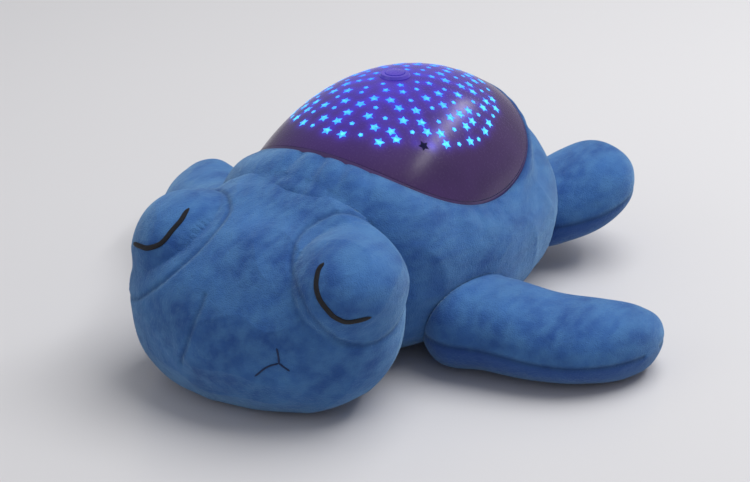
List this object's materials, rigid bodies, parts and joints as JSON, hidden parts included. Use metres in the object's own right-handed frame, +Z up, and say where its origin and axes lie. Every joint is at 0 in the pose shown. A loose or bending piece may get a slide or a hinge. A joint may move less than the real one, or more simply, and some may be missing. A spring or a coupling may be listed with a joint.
{
  "type": "star night light projector",
  "caption": "Plush turtle that holds a dome shell with star windows over coloured lamps, a press button at the crown and a battery bay underneath.",
  "frame": {"origin": "on the floor under the middle of the dome", "axes": "+Z up, the head toward -Y, the turtle's left toward +X"},
  "size_m": [0.3113, 0.3024, 0.1275],
  "materials": {
    "plush": "short blue plush",
    "shell": "dark purple gloss",
    "clear": "clear moulding",
    "housing": "dark moulding",
    "button": "purple gloss",
    "board": "circuit board",
    "lamp_blue": "blue lamp",
    "lamp_green": "green lamp",
    "lamp_red": "red lamp",
    "steel": "plated steel",
    "cell": "plain cell sleeve"
  },
  "bodies": {
    "shell_body": {"plush_body": "plush", "dome_shell": "shell", "star_liner": "clear", "housing_base": "housing", "clamp_ring": "housing", "battery_1": "cell", "battery_2": "cell", "battery_3": "cell", "contact_springs": "steel", "contact_leaves": "steel", "lamp_deck": "housing", "lamp_board": "board", "board_screws": "steel", "lamp_blue": "lamp_blue", "lamp_green": "lamp_green", "lamp_red": "lamp_red", "tact_switch": "housing", "button_bezel": "button", "button_post": "clear"},
    "head": {"plush_head": "plush", "left_eye_mound": "plush", "right_eye_mound": "plush"},
    "front_left": {"front_left_flipper": "plush"},
    "front_right": {"front_right_flipper": "plush"},
    "rear_left": {"rear_left_flipper": "plush"},
    "rear_right": {"rear_right_flipper": "plush"},
    "button": {"button_cap": "button", "button_stem": "button"},
    "door": {"battery_door": "housing", "door_screw": "steel"}
  },
  "joints": [
    {"name": "head_nod", "type": "hinge", "parent": "shell_body", "child": "head", "pos_m": [-0.0014, -0.0965, 0.0888], "axis": [-0.9848, -0.1736, 0], "range_deg": [0, 12]},
    {"name": "front_left_lift", "type": "hinge", "parent": "shell_body", "child": "front_left", "pos_m": [0.0771, -0.0454, 0.0426], "axis": [0.2419, -0.9703, 0], "range_deg": [0, 30]},
    {"name": "front_right_lift", "type": "hinge", "parent": "shell_body", "child": "front_right", "pos_m": [-0.078, -0.042, 0.0426], "axis": [0.5, 0.866, 0], "range_deg": [0, 30]},
    {"name": "rear_left_lift", "type": "hinge", "parent": "shell_body", "child": "rear_left", "pos_m": [0.0508, 0.0819, 0.0545], "axis": [0.8829, -0.4695, 0], "range_deg": [0, 30]},
    {"name": "rear_right_lift", "type": "hinge", "parent": "shell_body", "child": "rear_right", "pos_m": [-0.0508, 0.0819, 0.0545], "axis": [0.8829, 0.4695, 0], "range_deg": [0, 30]},
    {"name": "button_press", "type": "slide", "parent": "shell_body", "child": "button", "axis": [0, 0, -1], "range_m": [0, 0.001], "stiffness_N_per_m": 800, "springref_m": -0.001},
    {"name": "door_open", "type": "hinge", "parent": "shell_body", "child": "door", "pos_m": [0, -0.0289, 0.004], "axis": [-1, 0, 0], "range_deg": [0, 85]}
  ]
}
